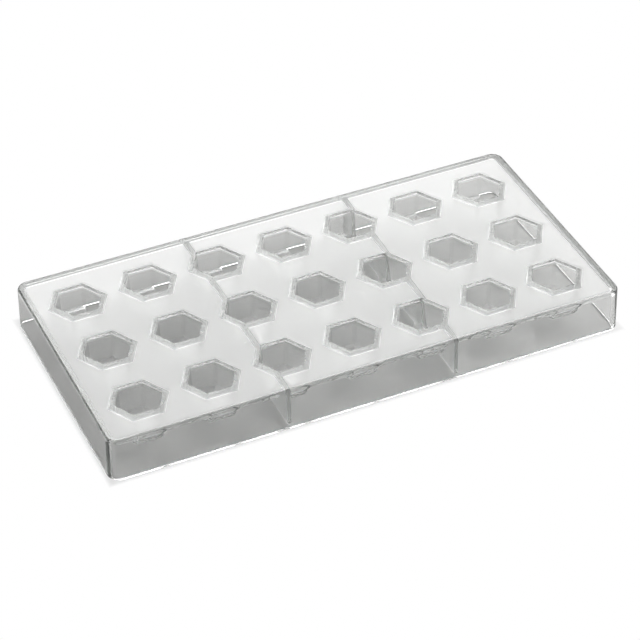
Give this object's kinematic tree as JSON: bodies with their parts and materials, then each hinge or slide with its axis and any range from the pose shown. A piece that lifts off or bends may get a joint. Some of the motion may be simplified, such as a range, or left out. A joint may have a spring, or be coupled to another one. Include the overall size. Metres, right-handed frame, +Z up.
{
  "type": "chocolate mould",
  "caption": "Clear rigid tray mould: a flat filling face with rows of straight-sided hexagonal cavities, a deep rim skirt and cross ribs, open underneath.",
  "frame": {"origin": "middle of the footprint, on the plane that the rim rests on", "axes": "+X along the long side, +Y across, from the side nearest the camera to the far side, +Z up out of the filling face"},
  "size_m": [0.275, 0.135, 0.024],
  "materials": {
    "clear_polycarbonate": "clear, polished on the cavity side and on the skirt, as moulded"
  },
  "bodies": {
    "root": {"mould": "clear_polycarbonate"}
  },
  "joints": []
}
